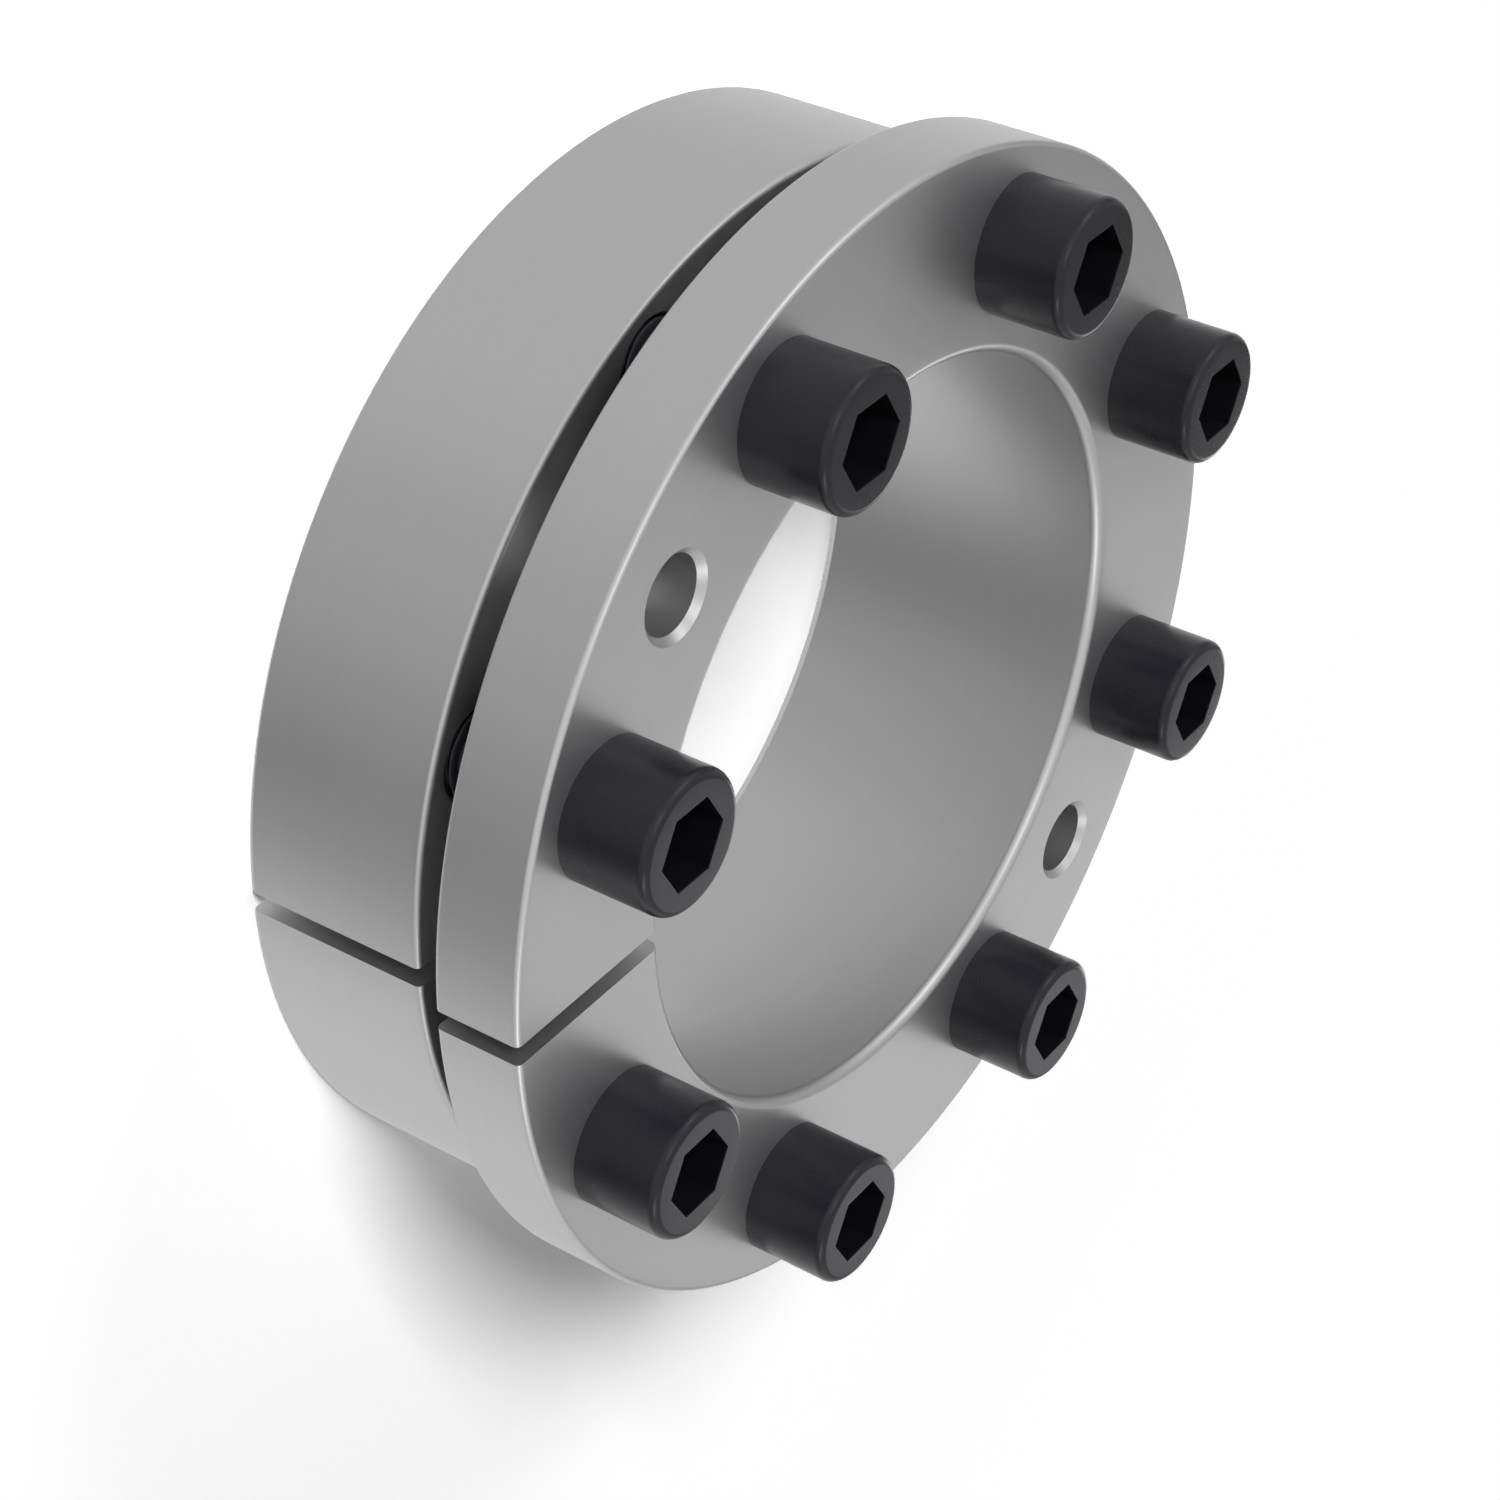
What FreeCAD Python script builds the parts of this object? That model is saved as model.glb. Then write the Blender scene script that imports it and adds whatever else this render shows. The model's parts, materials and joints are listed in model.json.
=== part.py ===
import FreeCAD, Part
import os
import Sketcher
from FreeCAD import Vector

# Keyless locking assembly that clamps a 100 mm shaft in a 145 mm hub.
# A slit inner ring carries a flange at its front end and a long taper behind it.
# A slit outer ring sits on the taper, and cap screws through the flange draw it forward,
# so the outer ring spreads into the hub while the inner ring closes on the shaft.
# Millimetres. The axis is Z, the rear faces lie at zero, the screw heads point up,
# and the slits of both rings point towards minus Y.

# Driving sizes: name, value, what it is
SIZES = [
    ("shaft_diameter", 100, "bore of the inner ring"),
    ("cone_wall", 6.6, "wall of the inner ring at the big end of its taper"),
    ("cone_angle", 7, "half-angle of both tapers, in degrees"),
    ("cone_clearance", 0.03, "radial play left between the tapers when tight"),
    ("take_up_turns", 1, "turns of the screws from loose to tight"),
    ("relief_width", 2, "grinding relief between taper and flange, along the axis"),
    ("relief_depth", 1, "the same relief, across the axis"),
    ("outer_ring_length", 26, "outer ring along the axis"),
    ("outer_wall", 2.45, "wall between a tapped hole and the outside of the outer ring"),
    ("ring_gap", 6, "outer ring to flange when loose"),
    ("flange_thickness", 12.2, "flange along the axis"),
    ("flange_overhang", 4.35, "flange beyond the outer ring, across the axis"),
    ("flange_web", 0.65, "wall between a screw hole and the big end of the taper"),
    ("screw_count", 8, "screws on their circle"),
    ("screw_diameter", 12, "thread outside"),
    ("thread_pitch", 1.75, "coarse pitch for that thread"),
    ("screw_length", 40, "under the head"),
    ("point_chamfer", 1.1, "chamfer at the screw's end"),
    ("head_diameter", 18, "cap screw head"),
    ("head_height", 12, "cap screw head along the axis"),
    ("head_round", 1.2, "rounding of the head's top edge"),
    ("socket_size", 10, "hexagon socket across its flats"),
    ("socket_depth", 6, "straight part of the socket"),
    ("socket_point", 1.2, "shallow cone below the straight part"),
    ("hole_clearance", 0.75, "radial play of a screw in the flange"),
    ("thread_clearance", 0.05, "radial play of a screw in its tapped hole"),
    ("tapping_chamfer", 0.6, "chamfer at both ends of a tapped hole"),
    ("jacking_count", 2, "tapped holes in the flange for pushing the rings apart"),
    ("jacking_chamfer", 0.9, "chamfer at both ends of a jacking hole"),
    ("slit_width", 2.7, "slit through each ring"),
    ("edge_round", 0.8, "rounding of the rings' outside edges"),
    ("bore_round", 1.5, "rounding of the bore's front edge"),
    ("bore_chamfer", 1.7, "lead-in chamfer at the bore's rear edge"),
    ("cone_chamfer", 0.5, "chamfer at the ends of both tapers"),
]

# A tapped hole's core is the thread's diameter less this many pitches
CORE_PITCHES = 1.0825
# The rear chamfer of the bore takes at most this share of the wall there
CHAMFER_SHARE = 0.6

# Sizes that follow from the driving ones, as formulas for the sketches and features
BORE_RADIUS = "(Sizes.shaft_diameter / 2)"
CONE_RADIUS = f"({BORE_RADIUS} + Sizes.cone_wall)"
SHANK_RADIUS = "(Sizes.screw_diameter / 2)"
HOLE_RADIUS = f"({SHANK_RADIUS} + Sizes.hole_clearance)"
TAPPED_RADIUS = f"({SHANK_RADIUS} + Sizes.thread_clearance)"
JACKING_RADIUS = f"((Sizes.screw_diameter - {CORE_PITCHES} * Sizes.thread_pitch) / 2)"
CIRCLE_RADIUS = f"({CONE_RADIUS} + Sizes.flange_web + {HOLE_RADIUS})"
HUB_RADIUS = f"({CIRCLE_RADIUS} + {TAPPED_RADIUS} + Sizes.outer_wall)"
FLANGE_RADIUS = f"({HUB_RADIUS} + Sizes.flange_overhang)"
FLANGE_REAR = "(Sizes.outer_ring_length + Sizes.ring_gap)"
FLANGE_FRONT = f"({FLANGE_REAR} + Sizes.flange_thickness)"
CONE_END = f"({FLANGE_REAR} - Sizes.relief_width)"
RELIEF_RADIUS = f"({CONE_RADIUS} - Sizes.relief_depth)"
REAR_CONE_RADIUS = f"({CONE_RADIUS} - {CONE_END} * tan(Sizes.cone_angle))"
REAR_WALL = f"({REAR_CONE_RADIUS} - {BORE_RADIUS})"
BORE_CHAMFER = f"min(Sizes.bore_chamfer; {CHAMFER_SHARE} * {REAR_WALL})"
TRAVEL = "(Sizes.take_up_turns * Sizes.thread_pitch)"
CONE_PLAY = f"({TRAVEL} * tan(Sizes.cone_angle) + Sizes.cone_clearance)"
RING_REAR_RADIUS = f"({REAR_CONE_RADIUS} + {CONE_PLAY})"
RING_FRONT_RADIUS = f"({RING_REAR_RADIUS} + Sizes.outer_ring_length * tan(Sizes.cone_angle))"
HEAD_RADIUS = "(Sizes.head_diameter / 2)"
SOCKET_CORNER = "(Sizes.socket_size / sqrt(3))"
SCREW_SPACING = "(360 / Sizes.screw_count)"
SLIT_ANGLE = "(-90)"

# How close a circle's radius and height must be to be the one meant
MATCH = 1e-4

doc = FreeCAD.newDocument("LockingAssembly")
sheet = doc.addObject("Spreadsheet::Sheet", "Sizes")


def fill_sheet():
    """Write one row for each driving size: what it is, its value and its alias."""
    for row, (alias, value, meaning) in enumerate(SIZES, start=1):
        sheet.set(f"A{row}", meaning)
        sheet.set(f"B{row}", str(value))
        sheet.setAlias(f"B{row}", alias)
    doc.recompute()


def size_of(formula):
    """The present value of a formula."""
    return float(sheet.evalExpression(formula))


def new_body(name):
    """An empty body whose label names its file."""
    body = doc.addObject("PartDesign::Body", name)
    body.Label = name
    return body


def new_sketch(body, name, plane):
    """A sketch on one of the body's own origin planes."""
    sketch = body.newObject("Sketcher::SketchObject", name)
    support = next(item for item in body.Origin.OriginFeatures if item.Role == plane)
    sketch.AttachmentSupport = (support, [""])
    sketch.MapMode = "FlatFace"
    return sketch


def place_point(sketch, curve, point, x, y):
    """Hold one point of a curve at x and y, both formulas."""
    for kind, formula, axis in (("DistanceX", x, -2), ("DistanceY", y, -1)):
        if formula == "0":
            sketch.addConstraint(Sketcher.Constraint("PointOnObject", curve, point, axis))
        else:
            distance = Sketcher.Constraint(kind, -1, 1, curve, point, size_of(formula))
            index = sketch.addConstraint(distance)
            sketch.setExpression(f"Constraints[{index}]", formula)


def draw_outline(sketch, corners):
    """Draw a closed outline of straight lines through corners, each a pair of formulas."""
    points = [Vector(size_of(x), size_of(y), 0) for x, y in corners]
    following = points[1:] + points[:1]
    lines = [
        sketch.addGeometry(Part.LineSegment(start, end), False)
        for start, end in zip(points, following)
    ]
    for line, next_line in zip(lines, lines[1:] + lines[:1]):
        sketch.addConstraint(Sketcher.Constraint("Coincident", line, 2, next_line, 1))
    for line, (x, y) in zip(lines, corners):
        place_point(sketch, line, 1, x, y)


def draw_circle(sketch, x, y, radius):
    """Draw a circle whose centre and radius are formulas."""
    centre = Vector(size_of(x), size_of(y), 0)
    shape = Part.Circle(centre, Vector(0, 0, 1), size_of(radius))
    circle = sketch.addGeometry(shape, False)
    place_point(sketch, circle, 3, x, y)
    index = sketch.addConstraint(Sketcher.Constraint("Radius", circle, size_of(radius)))
    sketch.setExpression(f"Constraints[{index}]", radius)


def revolve(body, name, corners, kind="PartDesign::Revolution"):
    """Turn an outline in the XZ plane about the body's axis, as a solid or as a groove."""
    sketch = new_sketch(body, name + "_outline", "XZ_Plane")
    draw_outline(sketch, corners)
    feature = body.newObject(kind, name)
    feature.Profile = sketch
    feature.ReferenceAxis = (sketch, ["V_Axis"])
    feature.Angle = 360
    sketch.Visibility = False
    return recomputed(feature)


def pocket_up(body, name, sketch):
    """Cut a sketch on the XY plane through everything above it."""
    pocket = body.newObject("PartDesign::Pocket", name)
    pocket.Profile = sketch
    pocket.Type = "ThroughAll"
    pocket.Reversed = True
    sketch.Visibility = False
    return recomputed(pocket)


def polar_pattern(body, name, feature, count):
    """Repeat a feature round the body's axis."""
    pattern = body.newObject("PartDesign::PolarPattern", name)
    pattern.Originals = [feature]
    pattern.Axis = (feature.Profile[0], ["N_Axis"])
    pattern.Angle = 360
    pattern.setExpression("Occurrences", count)
    body.Tip = pattern
    return recomputed(pattern)


def circles(shape, radius, heights):
    """Names of the shape's circular edges with this radius at any of these heights."""
    wanted = size_of(radius)
    levels = [size_of(height) for height in heights]
    names = []
    for number, edge in enumerate(shape.Edges, start=1):
        if not isinstance(edge.Curve, Part.Circle):
            continue
        right_size = abs(edge.Curve.Radius - wanted) < MATCH
        if right_size and any(abs(edge.Curve.Center.z - level) < MATCH for level in levels):
            names.append(f"Edge{number}")
    return names


def dress(body, name, kind, radius, heights, size):
    """Fillet or chamfer the circular edges with this radius at these heights."""
    base = body.Tip
    names = circles(base.Shape, radius, heights)
    if not names:
        raise RuntimeError(f"{name}: no edge to work on")
    feature = body.newObject(kind, name)
    feature.Base = (base, names)
    feature.setExpression("Radius" if kind == "PartDesign::Fillet" else "Size", size)
    return recomputed(feature)


def recomputed(feature):
    """Bring the document up to date and stop if this feature failed or changed nothing."""
    doc.recompute()
    if {"Invalid", "Error"} & set(feature.State) or feature.Shape.isNull():
        raise RuntimeError(f"{feature.Name} failed: {feature.State}")
    base = feature.BaseFeature
    if base and abs(base.Shape.Volume - feature.Shape.Volume) < MATCH:
        raise RuntimeError(f"{feature.Name} changed nothing")
    return feature


def cut_screw_holes(body, radius):
    """One hole on the screw circle beside the slit, repeated for every screw."""
    sketch = new_sketch(body, "screw_hole_circle", "XY_Plane")
    x, y = on_circle(screw_angle(0))
    draw_circle(sketch, x, y, radius)
    hole = pocket_up(body, "screw_hole", sketch)
    return polar_pattern(body, "screw_holes", hole, "Sizes.screw_count")


def cut_slit(body):
    """Cut the ring open towards minus Y."""
    sketch = new_sketch(body, "slit_outline", "XY_Plane")
    half = "Sizes.slit_width / 2"
    beyond = f"-({FLANGE_RADIUS} + Sizes.flange_overhang)"
    corners = [(f"-{half}", beyond), (half, beyond), (half, "0"), (f"-{half}", "0")]
    draw_outline(sketch, corners)
    return pocket_up(body, "slit", sketch)


def screw_angle(number):
    """Angle of a screw: the slit lies midway between the first and the last."""
    return f"({SLIT_ANGLE} - ({number} + 0.5) * {SCREW_SPACING})"


def jacking_angle(number):
    """Angle of a jacking hole: midway between two screws, the holes spread evenly."""
    step = "floor(Sizes.screw_count / Sizes.jacking_count)"
    return f"({SLIT_ANGLE} - (1 + {number} * {step}) * {SCREW_SPACING})"


def on_circle(angle):
    """X and Y of a point on the screw circle."""
    return f"{CIRCLE_RADIUS} * cos({angle})", f"{CIRCLE_RADIUS} * sin({angle})"


def make_inner_ring():
    """The flange and its slit, tapered sleeve, turned as one piece."""
    body = new_body("inner_ring")
    revolve(body, "turned_ring", [
        (BORE_RADIUS, "0"),
        (REAR_CONE_RADIUS, "0"),
        (CONE_RADIUS, CONE_END),
        (RELIEF_RADIUS, CONE_END),
        (RELIEF_RADIUS, FLANGE_REAR),
        (FLANGE_RADIUS, FLANGE_REAR),
        (FLANGE_RADIUS, FLANGE_FRONT),
        (BORE_RADIUS, FLANGE_FRONT),
    ])
    fillet, chamfer = "PartDesign::Fillet", "PartDesign::Chamfer"
    flange_faces = [FLANGE_REAR, FLANGE_FRONT]
    dress(body, "flange_edges", fillet, FLANGE_RADIUS, flange_faces, "Sizes.edge_round")
    dress(body, "bore_front", fillet, BORE_RADIUS, [FLANGE_FRONT], "Sizes.bore_round")
    dress(body, "bore_rear", chamfer, BORE_RADIUS, ["0"], BORE_CHAMFER)
    dress(body, "taper_rear", chamfer, REAR_CONE_RADIUS, ["0"], "Sizes.cone_chamfer")
    cut_screw_holes(body, HOLE_RADIUS)

    sketch = new_sketch(body, "jacking_circles", "XY_Plane")
    for number in range(int(size_of("Sizes.jacking_count"))):
        x, y = on_circle(jacking_angle(number))
        draw_circle(sketch, x, y, JACKING_RADIUS)
    pocket_up(body, "jacking_holes", sketch)
    size = "Sizes.jacking_chamfer"
    dress(body, "jacking_ends", chamfer, JACKING_RADIUS, flange_faces, size)
    cut_slit(body)
    return body


def make_outer_ring():
    """The slit outer ring: straight outside, tapered inside, tapped for every screw."""
    body = new_body("outer_ring")
    front = "Sizes.outer_ring_length"
    revolve(body, "turned_ring", [
        (RING_REAR_RADIUS, "0"),
        (HUB_RADIUS, "0"),
        (HUB_RADIUS, front),
        (RING_FRONT_RADIUS, front),
    ])
    fillet, chamfer = "PartDesign::Fillet", "PartDesign::Chamfer"
    dress(body, "outside_edges", fillet, HUB_RADIUS, ["0", front], "Sizes.edge_round")
    dress(body, "taper_rear", chamfer, RING_REAR_RADIUS, ["0"], "Sizes.cone_chamfer")
    dress(body, "taper_front", chamfer, RING_FRONT_RADIUS, [front], "Sizes.cone_chamfer")
    cut_screw_holes(body, TAPPED_RADIUS)
    size = "Sizes.tapping_chamfer"
    dress(body, "tapped_ends", chamfer, TAPPED_RADIUS, ["0", front], size)
    cut_slit(body)
    return body


def make_screw(number):
    """A cap screw, modelled from the seat under its head and then set on its circle."""
    body = new_body(f"screw_{number + 1}")
    point = "Sizes.point_chamfer"
    revolve(body, "turned_screw", [
        ("0", "-Sizes.screw_length"),
        (f"{SHANK_RADIUS} - {point}", "-Sizes.screw_length"),
        (SHANK_RADIUS, f"-Sizes.screw_length + {point}"),
        (SHANK_RADIUS, "0"),
        (HEAD_RADIUS, "0"),
        (HEAD_RADIUS, "Sizes.head_height"),
        ("0", "Sizes.head_height"),
    ])
    top = ["Sizes.head_height"]
    dress(body, "head_edge", "PartDesign::Fillet", HEAD_RADIUS, top, "Sizes.head_round")
    cut_socket(body)
    x, y = on_circle(screw_angle(number))
    body.setExpression("Placement.Base.x", x)
    body.setExpression("Placement.Base.y", y)
    body.setExpression("Placement.Base.z", FLANGE_FRONT)
    doc.recompute()
    return body


def cut_socket(body):
    """A hexagon socket with two corners on the Y axis and a shallow cone at its bottom."""
    sketch = new_sketch(body, "socket_outline", "XY_Plane")
    sketch.setExpression("AttachmentOffset.Base.z", "Sizes.head_height")
    side, half = "Sizes.socket_size / 2", f"{SOCKET_CORNER} / 2"
    draw_outline(sketch, [
        ("0", SOCKET_CORNER),
        (f"-{side}", half),
        (f"-{side}", f"-{half}"),
        ("0", f"-{SOCKET_CORNER}"),
        (side, f"-{half}"),
        (side, half),
    ])
    socket = body.newObject("PartDesign::Pocket", "socket")
    socket.Profile = sketch
    socket.setExpression("Length", "Sizes.socket_depth")
    sketch.Visibility = False
    recomputed(socket)
    bottom = "Sizes.head_height - Sizes.socket_depth"
    revolve(body, "socket_cone", [
        ("0", f"{bottom} - Sizes.socket_point"),
        (side, bottom),
        ("0", bottom),
    ], "PartDesign::Groove")


def write_steps(bodies):
    """Check everything and write one file for each sub-part."""
    doc.recompute()
    for item in doc.Objects:
        if {"Invalid", "Error"} & set(item.State):
            raise RuntimeError(f"{item.Name} is {item.State}")
    os.makedirs("parts", exist_ok=True)
    for body in bodies:
        shape = body.Shape
        if shape.isNull() or not shape.isValid() or len(shape.Solids) != 1:
            raise RuntimeError(f"{body.Label} is not one valid solid")
        shape.exportStep(f"parts/{body.Label}.step")
        print(f"{body.Label}: {shape.Volume:.0f} mm3")


def main():
    fill_sheet()
    screws = [make_screw(number) for number in range(int(size_of("Sizes.screw_count")))]
    write_steps([make_inner_ring(), make_outer_ring()] + screws)
    print(f"hub {2 * size_of(HUB_RADIUS):.3f} mm, flange {2 * size_of(FLANGE_RADIUS):.3f} mm")
    print(f"screw circle {2 * size_of(CIRCLE_RADIUS):.3f} mm, travel {size_of(TRAVEL):.3f} mm")


main()
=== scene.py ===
"""Looks of a keyless locking assembly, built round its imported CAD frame.

Two slit rings with matching tapers and a circle of cap screws. Metres; the axis is Z, the rear
faces lie at zero, the screw heads point up and the slits point towards minus Y.
"""
import json
import math

import bmesh
import bpy
import numpy as np
from bpy.props import FloatProperty, FloatVectorProperty, PointerProperty
from mathutils import Matrix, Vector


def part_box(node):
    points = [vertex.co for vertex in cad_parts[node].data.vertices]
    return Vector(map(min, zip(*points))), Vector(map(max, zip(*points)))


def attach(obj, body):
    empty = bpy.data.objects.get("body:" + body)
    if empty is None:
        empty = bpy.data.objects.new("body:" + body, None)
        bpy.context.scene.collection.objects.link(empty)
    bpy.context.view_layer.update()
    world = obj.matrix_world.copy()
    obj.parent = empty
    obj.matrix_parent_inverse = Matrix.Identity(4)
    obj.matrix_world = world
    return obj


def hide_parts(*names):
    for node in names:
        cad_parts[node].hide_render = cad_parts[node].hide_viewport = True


bl_info = {
    "name": "Locking assembly",
    "version": (1, 0, 0),
    "blender": (4, 5, 0),
    "location": "3D Viewport > Sidebar > Locking assembly",
    "description": "Builds the rings, the cap screws, their finishes and a small photo studio",
    "category": "Add Mesh",
}

MM = 0.001

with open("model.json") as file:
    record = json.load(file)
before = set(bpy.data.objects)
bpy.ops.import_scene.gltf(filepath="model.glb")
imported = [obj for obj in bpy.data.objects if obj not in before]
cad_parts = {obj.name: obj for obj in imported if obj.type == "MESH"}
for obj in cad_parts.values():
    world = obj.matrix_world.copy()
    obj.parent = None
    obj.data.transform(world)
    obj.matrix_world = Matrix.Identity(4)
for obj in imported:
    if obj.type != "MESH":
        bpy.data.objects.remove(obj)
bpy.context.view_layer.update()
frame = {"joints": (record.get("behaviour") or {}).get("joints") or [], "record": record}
mounts = {mount["name"]: mount for mount in frame["record"]["mounts"]}
screw_joints = [joint for joint in frame["joints"] if joint["type"] == "hinge"]
ring_joint = next(joint for joint in frame["joints"] if joint["type"] == "slide")
inner_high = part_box("inner_ring")[1]
outer_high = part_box("outer_ring")[1]
screw_low, screw_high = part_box("screw_1")
# Radius of the circle that the screws and the jacking holes lie on
CIRCLE_RADIUS = math.hypot(*screw_joints[0]["pos_m"][:2])

# The slit lies at this angle, and holes and slit divide each ring into equal sectors
SLIT_ANGLE = -math.pi / 2
SECTORS = 2 * len(screw_joints)
SECTOR = 2 * math.pi / SECTORS
# Divisions of one sector: round the ring, and across a flat face
ROUND_STEPS = 24
ACROSS_STEPS = 16
# Divisions of a rounded edge, and of one thread pitch along its axis
EDGE_STEPS = 5
PITCH_STEPS = 12
# Columns round a screw; a multiple of six, so that a hexagon's corners are among them
SCREW_COLUMNS = 60
# How far a thread's crest is flattened
CREST_FLATNESS = 0.8
# A socket's point starts at this share of its size, just inside the flats
POINT_SHARE = 0.49
# Points nearer to each other than this are joined, and edges sharper than this stay sharp
WELD = 2e-6
SHARP_ANGLE = math.radians(34)


class RingSizes(bpy.types.PropertyGroup):
    """Sizes of both rings."""

    bore_radius: FloatProperty(
        name="Bore radius", description="Radius of the shaft bore", unit="LENGTH",
        precision=5, default=mounts["shaft_bore"]["dims"]["r_mm"] * MM)
    hub_radius: FloatProperty(
        name="Hub radius", description="Outside radius of the outer ring", unit="LENGTH",
        precision=5, default=mounts["hub_seat"]["dims"]["r_mm"] * MM)
    flange_radius: FloatProperty(
        name="Flange radius", description="Outside radius of the flange", unit="LENGTH",
        precision=5, default=0.07685)
    flange_front: FloatProperty(
        name="Flange front", description="Height of the flange's front face", unit="LENGTH",
        precision=5, default=inner_high.z)
    flange_thickness: FloatProperty(
        name="Flange thickness", description="Flange along the axis", unit="LENGTH",
        precision=5, default=0.0122)
    outer_length: FloatProperty(
        name="Outer ring length", description="Outer ring along the axis", unit="LENGTH",
        precision=5, default=outer_high.z)
    taper_radius: FloatProperty(
        name="Taper radius", description="Big end of the inner ring's taper", unit="LENGTH",
        precision=5, default=0.0566)
    taper_angle: FloatProperty(
        name="Taper angle", description="Half-angle of both tapers", subtype="ANGLE",
        default=math.radians(7))
    taper_play: FloatProperty(
        name="Taper play", description="Radial play between the loose tapers", unit="LENGTH",
        precision=6, default=0.000244872)
    relief_width: FloatProperty(
        name="Relief width", description="Groove between taper and flange, along the axis",
        unit="LENGTH", precision=5, default=0.002)
    relief_depth: FloatProperty(
        name="Relief depth", description="The same groove, across the axis", unit="LENGTH",
        precision=5, default=0.001)
    slit_width: FloatProperty(
        name="Slit width", description="Slit through each ring", unit="LENGTH", precision=5,
        default=0.0027)
    edge_round: FloatProperty(
        name="Edge rounding", description="Rounding of the outside edges", unit="LENGTH",
        precision=5, default=0.0008)
    bore_round: FloatProperty(
        name="Bore rounding", description="Rounding of the bore's front edge", unit="LENGTH",
        precision=5, default=0.0015)
    bore_chamfer: FloatProperty(
        name="Bore chamfer", description="Lead-in at the bore's rear edge", unit="LENGTH",
        precision=5, default=0.0017)
    taper_chamfer: FloatProperty(
        name="Taper chamfer", description="Chamfer at the ends of both tapers", unit="LENGTH",
        precision=5, default=0.0005)
    hole_radius: FloatProperty(
        name="Screw hole radius", description="Plain hole in the flange", unit="LENGTH",
        precision=5, default=0.00675)
    tapped_radius: FloatProperty(
        name="Tapped hole radius", description="Outside of the thread in the outer ring",
        unit="LENGTH", precision=5, default=0.00605)
    tapping_chamfer: FloatProperty(
        name="Tapping chamfer", description="Chamfer at the ends of a tapped hole",
        unit="LENGTH", precision=5, default=0.0006)
    jacking_chamfer: FloatProperty(
        name="Jacking chamfer", description="Chamfer at the ends of a jacking hole",
        unit="LENGTH", precision=5, default=0.0009)
    jacking_lead: FloatProperty(
        name="Jacking lead-in", unit="LENGTH", precision=5, default=0.0062,
        description="Smooth front part of a jacking hole, ahead of its thread")
    bare_thread: FloatProperty(
        name="Bare thread", description="Length of thread that shows behind a screw's end",
        unit="LENGTH", precision=5, default=0.0024)


class ScrewSizes(bpy.types.PropertyGroup):
    """Sizes of a hexagon socket cap screw."""

    shank_radius: FloatProperty(
        name="Thread radius", description="Outside radius of the thread", unit="LENGTH",
        precision=5, default=0.006)
    pitch: FloatProperty(
        name="Pitch", description="Pitch of the thread", unit="LENGTH", precision=5,
        default=ring_joint["range_m"][1])
    thread_depth: FloatProperty(
        name="Thread depth", description="Crest to root of the thread", unit="LENGTH",
        precision=5, default=0.00095)
    plain_length: FloatProperty(
        name="Plain shank", description="Shank without thread under the head", unit="LENGTH",
        precision=5, default=0.004)
    length: FloatProperty(
        name="Length", description="Length under the head", unit="LENGTH", precision=5,
        default=inner_high.z - screw_low.z)
    point_chamfer: FloatProperty(
        name="Point chamfer", description="Chamfer at the screw's end", unit="LENGTH",
        precision=5, default=0.0011)
    head_radius: FloatProperty(
        name="Head radius", description="Radius of the head", unit="LENGTH", precision=5,
        default=(screw_high.x - screw_low.x) / 2)
    head_height: FloatProperty(
        name="Head height", description="Head along the axis", unit="LENGTH", precision=5,
        default=screw_high.z - inner_high.z)
    head_round: FloatProperty(
        name="Head rounding", description="Rounding of the head's top edge", unit="LENGTH",
        precision=5, default=0.0012)
    socket_size: FloatProperty(
        name="Socket size", description="Hexagon across its flats", unit="LENGTH",
        precision=5, default=0.01)
    socket_depth: FloatProperty(
        name="Socket depth", description="Straight part of the socket", unit="LENGTH",
        precision=5, default=0.006)
    socket_point: FloatProperty(
        name="Socket point", description="Shallow cone below the socket", unit="LENGTH",
        precision=5, default=0.0012)


class Finishes(bpy.types.PropertyGroup):
    """Colours and gloss of the two finishes."""

    steel_colour: FloatVectorProperty(
        name="Steel colour", description="Colour of the turned steel", subtype="COLOR",
        size=3, min=0, max=1, default=(0.52, 0.52, 0.525))
    steel_roughness: FloatProperty(
        name="Steel roughness", description="Mean roughness of the turned steel",
        subtype="FACTOR", min=0, max=1, default=0.39)
    oxide_colour: FloatVectorProperty(
        name="Oxide colour", description="Colour of the black oxide", subtype="COLOR",
        size=3, min=0, max=1, default=(0.012, 0.012, 0.017))
    oxide_roughness: FloatProperty(
        name="Oxide roughness", description="Mean roughness of the black oxide",
        subtype="FACTOR", min=0, max=1, default=0.28)


class StudioSettings(bpy.types.PropertyGroup):
    """Floor, lamps and lens."""

    floor_size: FloatProperty(
        name="Floor size", description="Side of the square floor", unit="LENGTH",
        default=8.0)
    floor_white: FloatProperty(
        name="Floor white", description="Colour of the floor as the camera sees it",
        min=0, max=2, default=1.48)
    lamp_share: FloatProperty(
        name="Lamps", description="Share of every lamp's power", subtype="FACTOR", min=0,
        max=1, default=1.0)
    world_strength: FloatProperty(
        name="Surrounding light", description="Strength of the soft light all round",
        min=0, default=0.17)
    lens: FloatProperty(
        name="Lens", description="Focal length of the camera", unit="CAMERA", default=85.41)
    clip: FloatProperty(
        name="Far clip", description="How far the camera sees", unit="LENGTH", default=60.0)


# Surfaces

def linear_steps(start, end, steps):
    """Equal steps from start to end, both ends included."""
    return np.linspace(start, end, steps + 1)


def corner_arc(centre, radius, first, last):
    """Points of a rounded corner in (radius, height): centre plus radius times (cos, sin) of
    an angle that runs from first to last, in degrees."""
    angle = np.radians(linear_steps(first, last, EDGE_STEPS))
    return np.stack([centre[0] + radius * np.cos(angle),
                     centre[1] + radius * np.sin(angle)], 1)


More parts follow.
